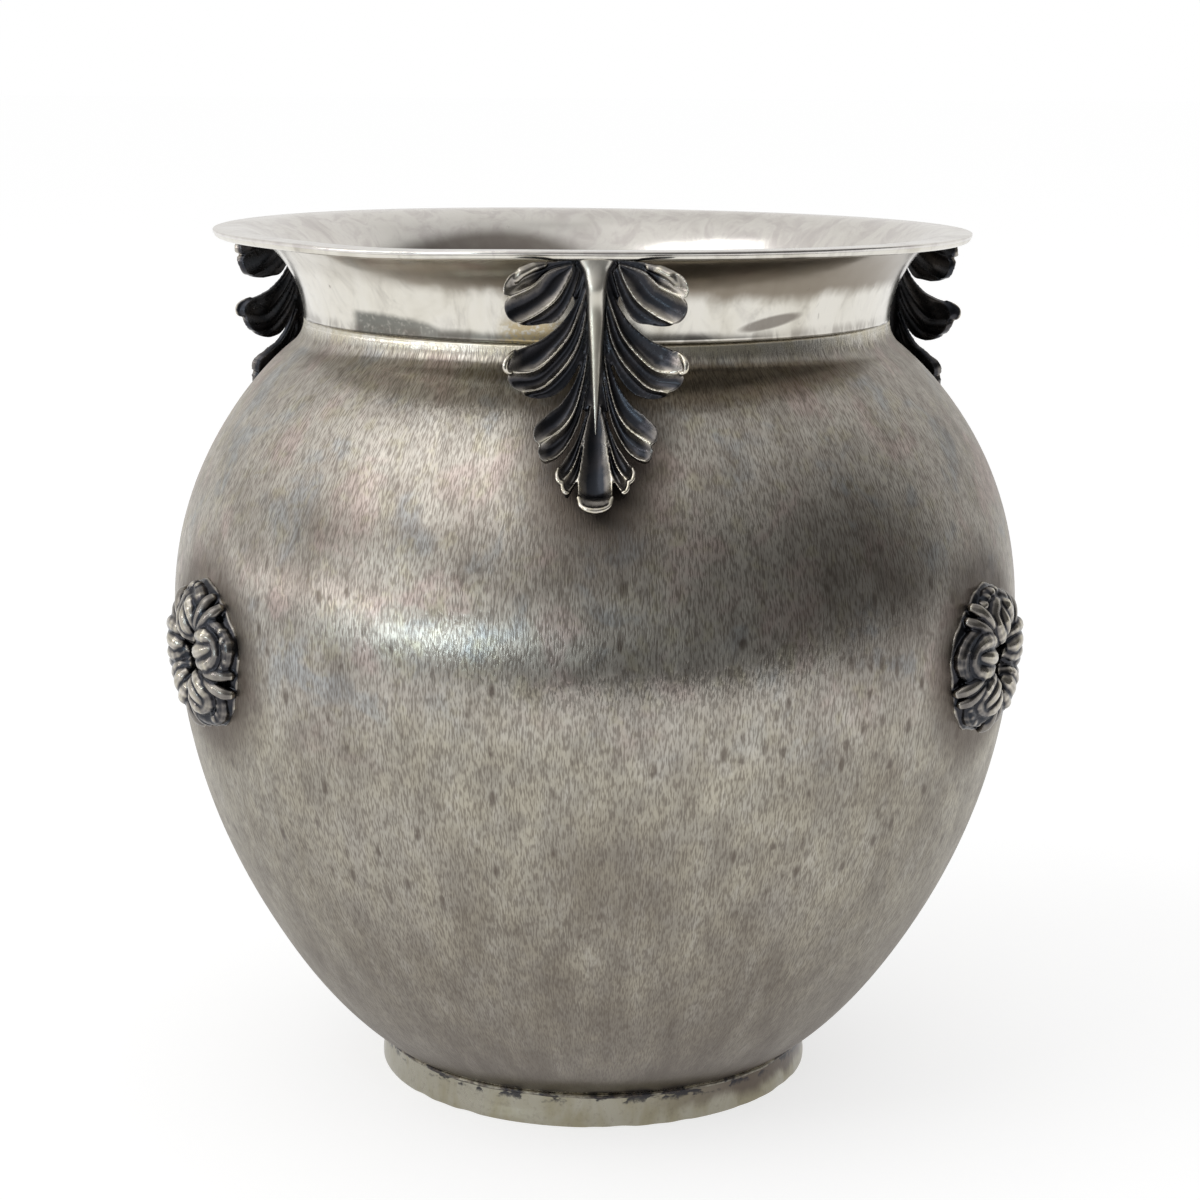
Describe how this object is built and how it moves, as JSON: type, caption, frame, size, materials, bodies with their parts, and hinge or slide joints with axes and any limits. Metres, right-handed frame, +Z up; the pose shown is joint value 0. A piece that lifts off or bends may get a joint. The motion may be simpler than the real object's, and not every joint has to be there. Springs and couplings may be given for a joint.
{
  "type": "silver vase",
  "caption": "Round-bellied metal vase with a trumpet neck and flat rim, cast acanthus leaves under the rim, cast rosettes on the belly and a low ring foot.",
  "frame": {"origin": "on the vase's axis, at the level of the table that it stands on", "axes": "+Z up along the axis, -Y towards the front leaf, +X to the right when the front is seen"},
  "size_m": [0.2372, 0.245, 0.24],
  "materials": {
    "satin_silver": "silver engraved all over with fine upright strokes, lightly tarnished",
    "polished_silver": "polished silver with light wear",
    "oxidised_silver": "cast silver, blackened in the hollows and polished on the ridges"
  },
  "bodies": {
    "root": {"body_shell": "satin_silver", "neck_and_rim": "polished_silver", "rim_wire": "polished_silver", "foot_ring": "polished_silver", "acanthus_leaf_1": "oxidised_silver", "acanthus_leaf_2": "oxidised_silver", "acanthus_leaf_3": "oxidised_silver", "leaf_vein_1": "polished_silver", "leaf_vein_2": "polished_silver", "leaf_vein_3": "polished_silver", "rosette_1": "oxidised_silver", "rosette_2": "oxidised_silver", "rosette_3": "oxidised_silver"}
  },
  "joints": []
}
